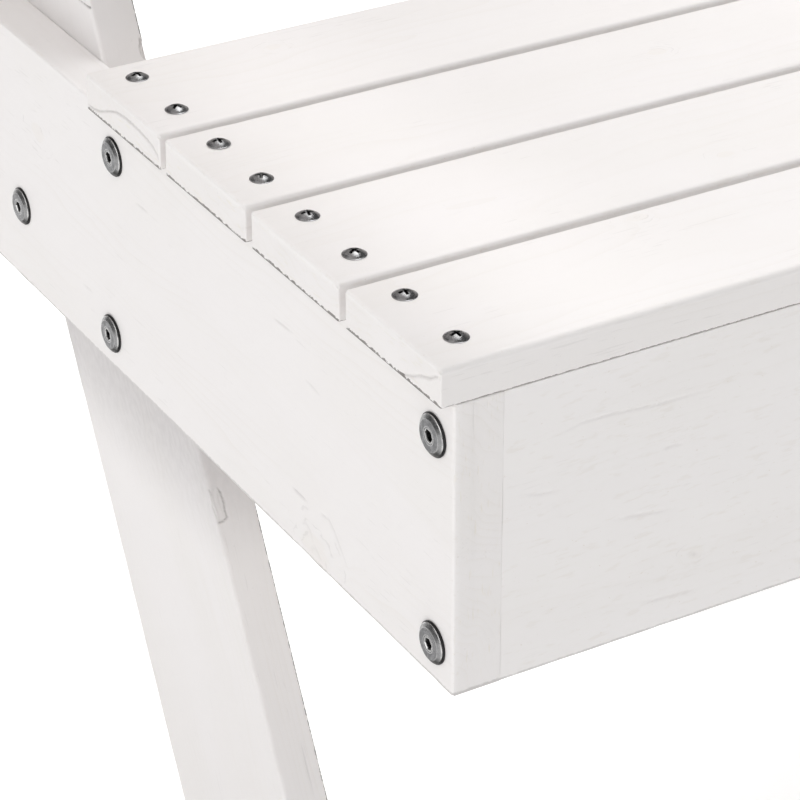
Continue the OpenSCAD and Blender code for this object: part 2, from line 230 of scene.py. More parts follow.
def board_mesh(size, seed, radii=(1.2,) * 4, end_r=(0.6, 0.6), corner_r=(0.8,) * 4, low_end=None,
               high_end=None, low_side=None, high_side=None, features=None, steps=(9.0, 4.0, 4.0),
               extra=((), (), ()), snug=0):
    """Closed board, two wide faces and the strip round them, as points in millimetres, faces and values.
    radii: rounding of the long edges, low face near and far, then high face near and far. end_r: the same
    for the ends, on the low and the high face. corner_r: the outline's corners, start-near, end-near,
    end-far, start-far. snug: -1 or 1 if the low or the high face lies against another board's end."""
    length, width, thick = size
    rng = np.random.default_rng(seed)
    r_low, r_high = max(radii[:2] + end_r[:1]), max(radii[2:] + end_r[1:])
    near_marks = arris_lines(radii[0]) + arris_lines(radii[2])
    far_marks = arris_lines(radii[1]) + arris_lines(radii[3])
    end_marks = arris_lines(end_r[0], 3) + arris_lines(end_r[1], 3)
    us = grid_lines(length, steps[0], end_marks + corner_lines(max(corner_r[0], corner_r[3])),
                    end_marks + corner_lines(max(corner_r[1], corner_r[2])), extra[0])
    vs = grid_lines(width, steps[1], near_marks + corner_lines(max(corner_r[0], corner_r[1])),
                    far_marks + corner_lines(max(corner_r[2], corner_r[3])), extra[1])
    levels = max(2, math.ceil((thick - r_low - r_high) / steps[2]))
    ws = np.array(sorted(set([k / levels for k in range(levels + 1)]
                             + [(m - r_low) / (thick - r_low - r_high) for m in extra[2]
                                if r_low < m < thick - r_high])))
    nu, nv, nw = len(us), len(vs), len(ws)
    gu, gv = (g.ravel() for g in np.meshgrid(us, vs, indexing="ij"))

    # Rounding of the outline's corners
    pu, pv = gu.copy(), gv.copy()
    for (at_end, at_far), r in zip(((0, 0), (1, 0), (1, 1), (0, 1)), corner_r):
        cu = length - r if at_end else r
        cv = width - r if at_far else r
        du, dv = gu - cu, gv - cv
        inside = ((du > 0) if at_end else (du < 0)) & ((dv > 0) if at_far else (dv < 0))
        norm = np.hypot(du, dv)
        scale = np.where(inside & (norm > 1e-9), np.maximum(abs(du), abs(dv)) / np.maximum(norm, 1e-9), 1)
        pu, pv = np.where(inside, cu + du * scale, pu), np.where(inside, cv + dv * scale, pv)

    # Rounded edges, as a drop from each wide face, a little uneven along the board
    uneven = smooth_noise(rng, 23, 0.16)
    side_d, end_d = np.minimum(gv, width - gv), np.minimum(gu, length - gu)

    def drop(near_r, far_r, at_end):
        r = np.where(gv < width / 2, near_r, far_r)
        r = np.where(r < 2.5, r * np.clip(1 + uneven(gu, gv), 0.55, 1.45), r)
        a, b = np.clip(1 - side_d / r, 0, 1), np.clip(1 - end_d / at_end, 0, 1)
        q = np.minimum(1, np.hypot(a, b))
        depth = (a * r + b * at_end) / np.maximum(a + b, 1e-9)
        rounded = np.clip(np.maximum(a * r, b * at_end), 0, 1)
        return depth * (1 - np.sqrt(np.maximum(0, 1 - q * q))), q * rounded

    low_drop, low_q = drop(radii[0], radii[1], end_r[0])
    high_drop, high_q = drop(radii[2], radii[3], end_r[1])
    low = np.stack([pu, pv, low_drop], 1)
    high = np.stack([pu, pv, thick - high_drop], 1)

    # The strip between them, round the outline
    index = np.arange(nu * nv).reshape(nu, nv)
    loop = np.concatenate([index[:, 0], index[-1, 1:], index[-2::-1, -1], index[0, -2:0:-1]])
    strip = [low[loop] + (high[loop] - low[loop]) * t for t in ws[1:-1]]
    points = np.concatenate([low, high] + strip)
    q_all = np.concatenate([low_q, high_q] + [np.zeros(len(loop))] * (nw - 2))
    outward = np.zeros((len(points), 3))

    n_grid = nu * nv
    faces = []
    a, b = index[:-1, :-1].ravel(), index[1:, :-1].ravel()
    c, d = index[1:, 1:].ravel(), index[:-1, 1:].ravel()
    faces.append(np.stack([a, d, c, b], 1))
    faces.append(np.stack([a, b, c, d], 1) + n_grid)
    inner_rows = [2 * n_grid + k * len(loop) + np.arange(len(loop)) for k in range(nw - 2)]
    rows = [loop] + inner_rows + [loop + n_grid]
    for below, above in zip(rows, rows[1:]):
        faces.append(np.stack([below, np.roll(below, -1), np.roll(above, -1), above], 1))
    faces = np.concatenate(faces)

    # Sides that taper and ends that are cut at a slant or along an arc
    u, v = points[:, 0].copy(), points[:, 1].copy()
    if low_side or high_side:
        t = v / width
        v = v + (1 - t) * (low_side(u) if low_side else 0) + t * (high_side(u) if high_side else 0)
    t = u / length
    shift = (1 - t) * (low_end(v) if low_end else 0) + t * (high_end(v) if high_end else 0)
    square_u = u.copy()
    u = u + shift
    points[:, 0], points[:, 1] = u, v

    # Normals, then the wood's own unevenness and its features, always inwards
    corners = points[faces]
    n = np.cross(corners[:, 2] - corners[:, 0], corners[:, 3] - corners[:, 1])
    for k in range(4):
        np.add.at(outward, faces[:, k], n)
    outward /= np.maximum(np.linalg.norm(outward, axis=1)[:, None], 1e-12)
    w = points[:, 2]
    broad, narrow = smooth_noise(rng, *BROAD_WAVES), smooth_noise(rng, *NARROW_WAVES)
    depth = RELIEF + broad(u, 3 * v) + narrow(u * 0.4, v + w)
    flat_cut = 0.85 * np.maximum(np.abs(outward[:, 0]), np.clip(outward[:, 2] * snug, 0, 1))
    depth = np.clip(depth, 0, None) * (1 - flat_cut)
    nick = smooth_noise(rng, 13, 1.0)
    nicks = np.clip(nick(square_u, 2.1 * v + 1.3 * w) - 1.15, 0, 1) * q_all
    depth = depth + 0.5 * nicks * (1 - flat_cut)
    dark = np.zeros(len(points))
    if features:
        cut, dark = features.depths(square_u, points[:, 1], w)
        depth = depth + cut
    points = points - outward * depth[:, None]
    end = np.concatenate([end_d < end_r[0] * 0.5, end_d < end_r[1] * 0.5] + [end_d[loop] < 0.05] * (nw - 2))
    return points, faces, {"board": points, "edge": q_all, "crack": dark, "end_grain": end}


def linked(name, data):
    """New object in the scene."""
    obj = bpy.data.objects.new(name, data)
    bpy.context.scene.collection.objects.link(obj)
    return obj


def keep(mesh, name, values):
    """Sets an attribute of the mesh's points, one number or one vector each."""
    values = np.asarray(values, np.float32)
    kind, field = ("FLOAT_VECTOR", "vector") if values.ndim == 2 else ("FLOAT", "value")
    layer = mesh.attributes.get(name) or mesh.attributes.new(name, kind, "POINT")
    layer.data.foreach_set(field, values.ravel())


def make_object(name, points, faces, values, matrix):
    """Mesh object in the chair's frame, with the values kept as attributes of its points."""
    mesh = bpy.data.meshes.new(name)
    mesh.from_pydata([tuple(p) for p in points], [], [tuple(int(i) for i in f) for f in faces])
    for key, value in values.items():
        keep(mesh, key, value)
    mesh.transform(matrix)
    mesh.shade_smooth()
    mesh.update()
    return linked(name, mesh)


def crisp_normals(mesh):
    """Shading normals that follow the large faces, so that only the rounded edges look rounded."""
    count = len(mesh.polygons)
    normal, area, corners = np.empty(count * 3), np.empty(count), np.empty(count, int)
    mesh.polygons.foreach_get("normal", normal)
    mesh.polygons.foreach_get("area", area)
    mesh.polygons.foreach_get("loop_total", corners)
    vertex = np.empty(len(mesh.loops), int)
    mesh.loops.foreach_get("vertex_index", vertex)
    total = np.zeros((len(mesh.vertices), 3))
    np.add.at(total, vertex, np.repeat(normal.reshape(-1, 3) * area[:, None], corners, axis=0))
    total /= np.maximum(np.linalg.norm(total, axis=1)[:, None], 1e-20)
    mesh.normals_split_custom_set_from_vertices(total)


def bore(obj, matrix, holes, size):
    """Cuts blind round holes, given as (point, direction in) in the board's own millimetres."""
    cutter = bmesh.new()
    for point, inward in holes:
        turn = Vector(inward).to_track_quat("Z", "Y").to_matrix().to_4x4()
        start = Matrix.Translation(Vector(point) - Vector(inward).normalized() * DRILL_START)
        middle = Matrix.Translation((0, 0, DRILL_DEPTH / 2))
        bmesh.ops.create_cone(cutter, cap_ends=True, segments=48, radius1=DOWEL_HOLE_R,
                              radius2=DOWEL_HOLE_R, depth=DRILL_DEPTH, matrix=start @ turn @ middle)
    mesh = bpy.data.meshes.new("cutter")
    cutter.to_mesh(mesh)
    cutter.free()
    mesh.transform(matrix)
    tool = linked("cutter", mesh)
    step = obj.modifiers.new("bore", "BOOLEAN")
    step.operation, step.solver, step.object = "DIFFERENCE", "EXACT", tool
    bpy.context.view_layer.update()
    result = bpy.data.meshes.new_from_object(obj.evaluated_get(bpy.context.evaluated_depsgraph_get()))
    obj.modifiers.clear()
    obj.data = result
    bpy.data.objects.remove(tool)
    back = np.array(matrix.inverted())
    co = np.empty(len(result.vertices) * 3)
    result.vertices.foreach_get("co", co)
    local = co.reshape(-1, 3) @ back[:3, :3].T + back[:3, 3]
    keep(result, "board", local)
    inside = np.min([local[:, 1], size[1] - local[:, 1], local[:, 2], size[2] - local[:, 2]], 0)
    keep(result, "edge", np.clip(1 - inside, 0, 1))


# ---- Materials ----


def fill(tree, node, inputs):
    """Sets a node's inputs, each to a number or colour, or linked to another node's output."""
    for key, value in inputs.items():
        if isinstance(value, bpy.types.NodeSocket):
            tree.links.new(value, node.inputs[key])
        else:
            node.inputs[key].default_value = value


def put(tree, kind, inputs=(), **settings):
    """Adds a shader node."""
    node = tree.nodes.new("ShaderNode" + kind)
    for key, value in settings.items():
        setattr(node, key, value)
    fill(tree, node, dict(inputs))
    return node


def calc(tree, operation, *values, clamp=False):
    inputs = dict(enumerate(values))
    return put(tree, "Math", inputs, operation=operation, use_clamp=clamp).outputs[0]


def ramp(tree, value, low, high, from_value=0.0, to_value=1.0):
    """Smooth change from from_value to to_value as value goes from low to high."""
    inputs = {"Value": value, "From Min": low, "From Max": high, "To Min": from_value, "To Max": to_value}
    node = put(tree, "MapRange", inputs, interpolation_type="SMOOTHSTEP", clamp=True)
    return node.outputs["Result"]


def blend(tree, factor, one, two):
    node = put(tree, "Mix", data_type="RGBA")
    for socket, value in ((node.inputs[0], factor), (node.inputs[6], one), (node.inputs[7], two)):
        if isinstance(value, bpy.types.NodeSocket):
            tree.links.new(value, socket)
        else:
            socket.default_value = value if socket.type == "VALUE" else (*value, 1)
    return node.outputs[2]


def coats(tree, colour, layers):
    """Colours laid one over the other, each as strongly as its factor says."""
    for factor, over in layers:
        colour = blend(tree, factor, colour, over)
    return colour


def noise(tree, place, stretch, detail=2.0, rough=0.5):
    scaled = put(tree, "VectorMath", {0: place, 1: stretch}, operation="MULTIPLY").outputs[0]
    inputs = {"Vector": scaled, "Scale": 1.0, "Detail": detail, "Roughness": rough, "Distortion": 0.0}
    return put(tree, "TexNoise", inputs).outputs[0]


def attribute(tree, name, output="Fac"):
    return put(tree, "Attribute", attribute_name=name).outputs[output]


def split(tree, vector):
    return put(tree, "SeparateXYZ", {0: vector}).outputs


def moved(tree, vector, by):
    return put(tree, "VectorMath", {0: vector, 1: by}, operation="ADD").outputs[0]


def arithmetic(tree):
    """Short names for a material's commonest nodes."""
    return (partial(calc, tree, operation) for operation in ("MULTIPLY", "ADD", "SUBTRACT"))


def facing_up(tree):
    """Upward part of the surface's normal."""
    return split(tree, put(tree, "NewGeometry").outputs["Normal"])[2]


def new_material(name):
    material = bpy.data.materials.new(name)
    material.use_nodes = True
    tree = material.node_tree
    tree.nodes.clear()
    shader = put(tree, "BsdfPrincipled")
    put(tree, "OutputMaterial", {0: shader.outputs[0]})
    return material, tree, shader


PAINT = (0.865, 0.838, 0.830)
PAINT_COOL = (0.852, 0.825, 0.810)
PAINT_THIN = (0.78, 0.735, 0.685)
# The next colour is a painted highlight on the rounded edges
PAINT_EDGE_HIGHLIGHT = (0.925, 0.905, 0.895)
GRIME = (0.16, 0.145, 0.135)
RAW_WOOD = (0.62, 0.52, 0.38)
PAINT_ON_KNOT = (0.80, 0.74, 0.66)
END_FLECK = (0.80, 0.75, 0.62)
# The next colour is painted shade under a board that stands proud of another
PAINTED_CORNER_SHADE = (0.38, 0.36, 0.365)
# The next colour is painted shade in the steel's recesses and on its down-facing parts
PAINTED_SHADE_BLACK = (0.02, 0.019, 0.018)

# Millimetres between growth rings, and turning marks in a millimetre of a head's radius
RING_GAP = 4.3
TURNING_MARKS = 5.0


def painted_pine(name, seed, knots, seams, corners, grain):
    """White paint over sawn pine. knots: (along, across, size). seams: (axis, at, reach, which surfaces) of
    dark lines
    of painted shade along edges. corners: (direction, at, reach) of painted shade under another board."""
    rng = np.random.default_rng(seed)
    material, tree, shader = new_material(name)
    times, plus, minus = arithmetic(tree)
    own = attribute(tree, "board", "Vector")
    edge, crack, end = (attribute(tree, key) for key in ("edge", "crack", "end_grain"))
    place = moved(tree, own, tuple(rng.uniform(900, 5000, 3)))
    layer = partial(noise, tree, place)
    parts = split(tree, own)
    u, v, w = parts[0], parts[1], parts[2]

    # Knots push the growth rings aside and leave a faint round scar
    scar, bulge, ring_crack = 0.0, 0.0, 0.0
    for knot_u, knot_v, size in knots:
        du = calc(tree, "DIVIDE", minus(u, knot_u), 1.5 * size)
        dv = calc(tree, "DIVIDE", minus(v, knot_v), size)
        d = calc(tree, "SQRT", plus(times(du, du), times(dv, dv)))
        warp = layer((0.12, 0.25, 0.2), 2.0)
        d = plus(d, times(minus(warp, 0.5), 0.9))
        scar = plus(scar, ramp(tree, d, 0.75, 1.15, 1.0, 0.0))
        bulge = plus(bulge, ramp(tree, d, 0.3, 3.2, 1.6 * size, 0.0))
        ring = calc(tree, "SINE", times(d, 9.0))
        arcs = times(ramp(tree, ring, 0.80, 0.98), ramp(tree, d, 2.3, 2.7, 1.0, 0.0))
        patchy = ramp(tree, layer((0.09, 0.13, 0.1), 1.0), 0.50, 0.62)
        ring_crack = calc(tree, "MAXIMUM", ring_crack, times(arcs, patchy))

    # Growth rings round a pith line outside the board
    pith_v, pith_w = rng.uniform(-70, 210), rng.choice((-1, 1)) * rng.uniform(45, 110)
    warp = layer((0.0045, 0.022, 0.03), 2.0)
    rv, rw = minus(v, pith_v), minus(w, pith_w)
    radius = calc(tree, "SQRT", plus(times(rv, rv), times(rw, rw)))
    radius = plus(plus(radius, times(warp, 34.0)), bulge)
    late = calc(tree, "POWER", calc(tree, "FRACT", calc(tree, "DIVIDE", radius, RING_GAP)), 5.0)
    fade = ramp(tree, layer((0.006, 0.03, 0.05), 1.5), 0.36, 0.66)
    rings = times(late, fade)

    fibre = layer((0.035, 1.5, 1.5), 3.0, 0.62)
    blotch = layer((0.008, 0.02, 0.02), 2.0)
    dashes = layer((0.055, 0.95, 0.95), 1.5, 0.5)
    dash_zone = ramp(tree, layer((0.013, 0.05, 0.05), 1.0), 0.50, 0.66)
    dash = times(ramp(tree, dashes, 0.655, 0.70), dash_zone)
    pores = ramp(tree, layer((0.5, 0.55, 0.55), 2.0, 0.6), 0.70, 0.76)
    lumps = layer((0.16, 0.30, 0.30), 3.0, 0.55)

    # End grain takes the paint unevenly, with yellowish flecks. The long edges are painted lighter, a painted
    # highlight, and are rubbed thin in places
    flecks = ramp(tree, layer((0.7, 0.10, 0.85), 2.0, 0.6), 0.60, 0.72)
    rub = ramp(tree, layer((0.09, 0.35, 0.35), 2.0, 0.6), 0.56, 0.70)
    colour = coats(tree, PAINT, [
        (ramp(tree, blotch, 0.3, 0.7), PAINT_COOL), (times(rings, 0.20 * grain), PAINT_THIN),
        (times(ramp(tree, fibre, 0.56, 0.78), 0.09 * grain), PAINT_THIN),
        (times(scar, 0.16), PAINT_ON_KNOT), (times(ring_crack, 0.10), GRIME), (times(dash, 0.075), GRIME),
        (times(pores, 0.05), GRIME), (times(times(end, flecks), 0.30), END_FLECK),
        (times(edge, 0.45), PAINT_EDGE_HIGHLIGHT), (times(times(edge, rub), 0.30), PAINT_THIN),
        (times(times(edge, pores), 0.30), RAW_WOOD),
    ])
    # Dark lines of painted shade along the edges that sit on other boards or face the ground: where each kind
    # of line shows, how softly it ends, and how narrow it gets
    kinds = {"edges": (ramp(tree, edge, 0.05, 0.25), 0.12, 0.35), "ends": (end, 0.12, 0.35),
             "sides": (ramp(tree, facing_up(tree), -0.90, -0.70, 0.0, 0.42), 1.1, 0.8)}
    for axis, at, reach, which in seams:
        shown, soft, least = kinds[which]
        away = calc(tree, "ABSOLUTE", minus(parts[axis], at))
        jag = layer((0.30, 0.30, 0.30), 4.0, 0.75)
        limit = times(ramp(tree, jag, 0.36, 0.60, least, 1.0), reach)
        line = times(ramp(tree, minus(limit, away), -0.15, soft), shown)
        colour = blend(tree, times(line, 0.85), colour, GRIME)
    # Painted shade, mottled, on the surface just under another board that stands proud of it, fading over the
    # given reach
    for direction, at, reach in corners:
        dot = put(tree, "VectorMath", {0: own, 1: direction}, operation="DOT_PRODUCT")
        below = minus(at, dot.outputs["Value"])
        shade_ramp = times(ramp(tree, below, 0.3 * reach, reach, 1.0, 0.0), ramp(tree, below, -6.0, 0.0))
        mottled_shade = times(shade_ramp, ramp(tree, lumps, 0.36, 0.64, 0.88, 1.0))
        colour = blend(tree, times(mottled_shade, 0.52), colour, PAINTED_CORNER_SHADE)
    colour = blend(tree, times(crack, 0.80), colour, GRIME)

    height = plus(times(rings, -0.55), times(fibre, 0.55))
    height = plus(height, times(lumps, 0.8))
    height = minus(height, times(dash, 0.4))
    height = minus(height, times(pores, 0.5))
    height = minus(height, times(ring_crack, 0.8))
    height = plus(height, times(scar, 0.6))
    height = plus(height, times(end, times(flecks, -0.9)))
    bump = put(tree, "Bump", {"Strength": 0.55, "Distance": 0.00016, "Height": height})
    rough = ramp(tree, lumps, 0.3, 0.7, 0.46, 0.60)
    rough = plus(rough, times(end, 0.15), clamp=True)
    rough = plus(rough, times(rings, 0.08), clamp=True)
    fill(tree, shader, {"Base Color": colour, "Roughness": rough, "Normal": bump.outputs[0],
                        "Specular IOR Level": 0.35})
    return material


def turned_steel(name, seed, base, bright, rough, shade_below):
    """Steel with turning marks round its own axis, rubbed bright edges, and painted shade, near-black, in its
    recesses and on the parts that face down.
    """
    rng = np.random.default_rng(seed)
    material, tree, shader = new_material(name)
    times, plus, minus = arithmetic(tree)
    own = attribute(tree, "head", "Vector")
    worn, sunk, spot = (attribute(tree, key) for key in ("worn", "sunk", "spot"))
    parts = split(tree, own)
    apart = put(tree, "CombineXYZ", {0: spot, 1: times(spot, 1.7), 2: spot}).outputs[0]
    place = moved(tree, moved(tree, own, apart), tuple(rng.uniform(50, 400, 3)))
    out = calc(tree, "SQRT", plus(times(parts[0], parts[0]), times(parts[1], parts[1])))
    cloud = noise(tree, place, (0.35, 0.35, 0.35), 3.0, 0.6)
    speck = noise(tree, place, (3.0, 3.0, 3.0), 2.0, 0.6)
    marks = calc(tree, "SINE", plus(times(out, 2 * math.pi * TURNING_MARKS), times(cloud, 4.0)))
    # Painted shade: the parts that face down are made near-black and less metallic
    under = ramp(tree, times(facing_up(tree), -1.0), 0.12, 0.40)
    dull, dark = (tuple(share * c for c in base) for share in (0.72, 0.4))
    # Recesses and hidden undersides, marked sunk, get painted shade as well
    colour = coats(tree, base, [
        (ramp(tree, cloud, 0.35, 0.65), dull), (times(ramp(tree, speck, 0.62, 0.72), 0.5), dark),
        (times(worn, ramp(tree, cloud, 0.30, 0.55, 0.45, 1.0)), bright), (times(sunk, 0.8), PAINTED_SHADE_BLACK),
        (times(under, shade_below), PAINTED_SHADE_BLACK),
    ])
    height = plus(times(marks, 0.25), times(speck, 0.9))
    bump = put(tree, "Bump", {"Strength": 0.35, "Distance": 0.00004, "Height": height})
    gloss = plus(ramp(tree, cloud, 0.3, 0.7, rough - 0.06, rough + 0.10), times(worn, -0.06), clamp=True)
    fill(tree, shader, {"Base Color": colour, "Roughness": gloss, "Normal": bump.outputs[0],
                        "Metallic": minus(1.0, times(under, shade_below)), "Specular IOR Level": 0.08})
    return material


# ---- Wooden pieces ----

random_knots = np.random.default_rng(77)


def some_knots(length, width, count):
    """Knots at random places, a little inside the board's edges."""
    return [(random_knots.uniform(0.06, 0.94) * length, random_knots.uniform(0.12, 0.88) * width,
             random_knots.uniform(2.5, 5.5)) for _ in range(count)]


def add_board(node, matrix, size, seed, knots=None, seams=(), corners=(), holes=(), grain=1.0, **shape):
    """One board: its mesh, its own paint, and its place among the CAD nodes."""
    points, faces, values = board_mesh(size, seed, **shape)
    obj = make_object(node + "_board", points, faces, values, matrix)
    if holes:
        bore(obj, matrix, holes, size)
    crisp_normals(obj.data)
    knots = some_knots(size[0], size[1], 2) if knots is None else knots
    obj.data.materials.clear()
    obj.data.materials.append(painted_pine("painted_pine_" + node, seed, knots, seams, corners, grain))
    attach(obj, "root")
    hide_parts(node)


def span(node):
    """A CAD node's box in metres, and its size in millimetres."""
    low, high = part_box(node)
    return low, high, (high - low) / MM


def lines_in(*stretches):
    """Extra grid lines where a board's small features are, from (start, stop, step) stretches."""
    return [mark for stretch in stretches for mark in np.arange(*stretch)]


def add_upright(node, seed, **more):
    """Rail standing on its long edge: grain to the back, width upwards, thickness to the right."""
    low, _, size = span(node)
    add_board(node, place_at(low, BACK, UP), (size.y, size.z, size.x), seed, **more)


def add_crosswise(node, seed, **more):
    """Apron: grain to the right, width upwards, thickness towards the front."""
    low, high, size = span(node)
    matrix = place_at(Vector((low.x, high.y, low.z)), RIGHT, UP)
    add_board(node, matrix, (size.x, size.z, size.y), seed, **more)


def solids_of(node):
    """Points of each separate solid in a CAD node, in metres."""
    work = bmesh.new()
    work.from_mesh(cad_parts[node].data)
    bmesh.ops.remove_doubles(work, verts=work.verts, dist=1e-6)
    seen, groups = set(), []
    for first in work.verts:
        if first in seen:
            continue
        stack, group = [first], []
        seen.add(first)
        while stack:
            here = stack.pop()
            group.append(here.co.copy())
            for e in here.link_edges:
                other = e.other_vert(here)
                if other not in seen:
                    seen.add(other)
                    stack.append(other)
        groups.append(np.array(group))
    work.free()
    return groups


def seats_of(node, axis_of):
    """Each solid's outermost point on its own axis, with the axis, in metres."""
    places = []
    for points in solids_of(node):
        axis = axis_of(points.mean(0))
        side = axis.cross(UP if abs(axis.z) < 0.9 else RIGHT).normalized()
        other = axis.cross(side)
        turned_axes = np.array([side, other, axis])
        local = points @ turned_axes.T
        middle = (local.min(0) + local.max(0)) / 2
        middle[2] = local[:, 2].max()
        places.append((Vector(middle @ turned_axes), axis))
    return places


def sideways(centre):
    """Outward direction on the side that a point is on."""
    return LEFT if centre[0] < 0 else RIGHT


lean = math.radians(FRONT_LEAN)
UP_BACK = Vector((0, math.sin(lean), math.cos(lean)))
OUT_BACK = Vector((0, -math.cos(lean), math.sin(lean)))

rail_low, rail_high, rail_size = span("left_side_rail")
SEAT_FRONT = rail_low.y
RAIL_TOP = rail_high.z

# The marks on the boards that the photo shows are lists of points in the board's own millimetres. Most were
# picked by eye on the photo, carried onto the board by a scratch program with the fitted camera, and rounded.

# Side rails. The left one shows an end-grain crack, and a knot with cracks near its lower edge
rail_marks = (
    Features(rail_size.y, rail_size.z, rail_size.x)
    .crack("start", [(141, 10.0), (118, 9.7), (92, 10.2), (64, 9.8), (30, 10.1)], 2.0, 0.10, (0.0, 0.5), 0.04)
    .crack("start", [(141, 9.6), (126, 9.4), (112, 9.7)], 0.5, 0.2, (0.0, 0.6), 0.10)
    .crack("low", [(140, 29), (133, 29.3), (124, 28.8)], 0.40, 0.5, (0.25, 0.25), 0.30)
    .crack("low", [(114, 29.4), (106, 30.6), (101, 27), (94, 19.5), (87, 12)], 0.50, 0.4, (0.1, 0.4), 0.16)
    .crack("low", [(131, 15), (127, 17), (123, 15), (120, 9)], 0.8, 0.35, (0.2, 0.3), 0.08)
    .crack("low", [(124, 4), (119, 9), (112, 4)], 0.8, 0.35, (0.2, 0.2), 0.08)
    .hairline("low", [(292, 105), (284, 105.6), (277, 105.5)], 0.16)
    .hairline("low", [(358, 31.5), (350, 32), (346, 31.6)], 0.16)
    .hairline("low", [(154, 108), (147, 108.8), (133, 109.4)], 0.18)
    .hairline("low", [(126, 91.7), (118, 91), (111, 90)], 0.14)
)
fine_rail = (lines_in((84, 144, 1.0), (144, 156, 1.5), (276, 294, 1.5), (345, 360, 1.5)),
             lines_in((2, 33, 0.8), (89, 93, 0.5), (104, 111, 0.5)), lines_in((8.2, 11.2, 0.3)))

# Rounding of the ends where rails and aprons meet, too small to show
TIGHT = 0.06
# These lines are painted shade on the down-facing part of the lower edges
RAIL_SEAM = ((1, 0.0, 2.7, "sides"),)
APRON_SEAM = ((1, 0.0, 2.1, "sides"),)
add_upright("left_side_rail", 11, features=rail_marks, steps=(5.0, 3.0, 3.0), extra=fine_rail, snug=1,
            radii=(1.5, 1.5, 0.8, 0.8), end_r=(1.6, TIGHT), knots=[(119, 7, 8.0), (402, 96, 5.0)],
            seams=RAIL_SEAM)
add_upright("right_side_rail", 12, steps=(7.0, 4.0, 4.0), snug=-1, radii=(0.8, 0.8, 1.5, 1.5),
            end_r=(TIGHT, 1.6), knots=some_knots(*rail_size.yz, 3), seams=RAIL_SEAM)

# Aprons and the batten under the seat, with the holes of their cross dowels
dowels = [spot for spot, _ in seats_of("cross_dowels", lambda c: BACK)]


def holes_in(node):
    """Dowel holes of a board that stands crosswise, on the side that faces the chair's middle or back."""
    low, high, size = span(node)
    face, inward = (size.y, (0, 0, -1)) if node == "rear_apron" else (0.0, (0, 0, 1))
    inside = [spot for spot in dowels if low.y < spot.y < high.y and low.z < spot.z < high.z]
    return [(((spot.x - low.x) / MM, (spot.z - low.z) / MM, face), inward) for spot in inside]


apron_size = span("front_apron")[2]
apron_marks = (
    Features(apron_size.x, apron_size.z, apron_size.y)
    .crack("high", [(7, 90), (18, 87), (31, 85)], 0.7, 0.25, (0.3, 0.3), 0.05)
    .crack("high", [(24, 112), (38, 115), (52, 115), (73.5, 113), (90, 112.6), (106, 112)],
           0.6, 0.3, (0.2, 0.3), 0.07)
    .crack("high", [(53, 63), (70, 61), (89, 58)], 0.8, 0.25, (0.3, 0.3), 0.05)
    .crack("high", [(79, 90), (84, 90.4), (89, 89.5)], 0.6, 0.3, (0.2, 0.2), 0.08)
    .crack("high", [(94, 33.4), (97, 32.4), (99, 30.4)], 0.9, 0.3, (0.2, 0.2), 0.12)
    .crack("high", [(69, 16), (80, 14.6), (90, 14), (102, 12.5)], 0.6, 0.3, (0.3, 0.2), 0.09)
)
APRON_SHAPE = {"radii": (0.8, 0.8, 1.0, 0.6), "end_r": (TIGHT, TIGHT), "corner_r": (0.15,) * 4}
add_crosswise("front_apron", 21, steps=(5.0, 2.5, 3.5), holes=holes_in("front_apron"), features=apron_marks,
              extra=(lines_in((6, 108, 1.5)), lines_in((11, 17, 0.8), (29, 35, 0.8), (56, 65, 0.8),
                                                       (84, 92, 0.8), (111, 117, 0.8)), ()),
              knots=[(98, 32, 3.0), (310, 88, 6.0)], seams=APRON_SEAM, grain=0.9, **APRON_SHAPE)
add_crosswise("rear_seat_batten", 22, holes=holes_in("rear_seat_batten"), **APRON_SHAPE)
add_crosswise("rear_apron", 23, holes=holes_in("rear_apron"), seams=APRON_SEAM, **APRON_SHAPE)

# Seat slats: rounded above, sharp below, with a dark line of painted shade where they sit on the rails
slat_size = span("seat_slat_1")[2]
slat_marks = {
    4: Features(*slat_size)
    .crack("start", [(77, 2.6), (70, 2.6), (63, 4.3), (54, 8), (45, 11), (36, 12), (28, 11.9), (20, 11.4),
                     (12.5, 10.3), (6.5, 8.8), (3, 6.6), (1.4, 4.4)], 0.50, 0.8, (0.04, 0.05), 0.30),
    1: Features(*slat_size)
    .crack("start", [(32, 1.3), (28.6, 1.7), (22.4, 4.2), (20, 5.6), (16, 7.6), (8.3, 10.2), (5, 12.6),
                     (1.6, 14)], 0.50, 0.7, (0.1, 0.1), 0.22),
}
slat_knots = {1: [(140, 72, 3.6), (402, 30, 4.5)], 2: [(452, 50, 4.0), (208, 21, 3.0)],
              3: [(245, 46, 3.4), (512, 33, 5.0)], 4: [(330, 41, 4.0), (90, 60, 3.0)]}
for number in (1, 2, 3, 4):
    node = f"seat_slat_{number}"
    low, high, size = span(node)
    fine = ((), (), (0.8, 1.2))
    if number in slat_marks:
        fine = ((), lines_in((0.6, 77, 0.7)), lines_in((0.6, 15, 0.45)))
    add_board(node, place_at(low, RIGHT, BACK), tuple(size), 30 + number, radii=(0.5, 0.6, 3.0, 0.9),
              end_r=(0.45, 1.6), corner_r=(1.2,) * 4, features=slat_marks.get(number), steps=(9.0, 3.0, 3.0),
              extra=fine, knots=slat_knots[number], seams=((2, 0.0, 1.8, "ends"), (2, 0.0, 0.6, "edges")))

rail_under = rail_low.z / MM


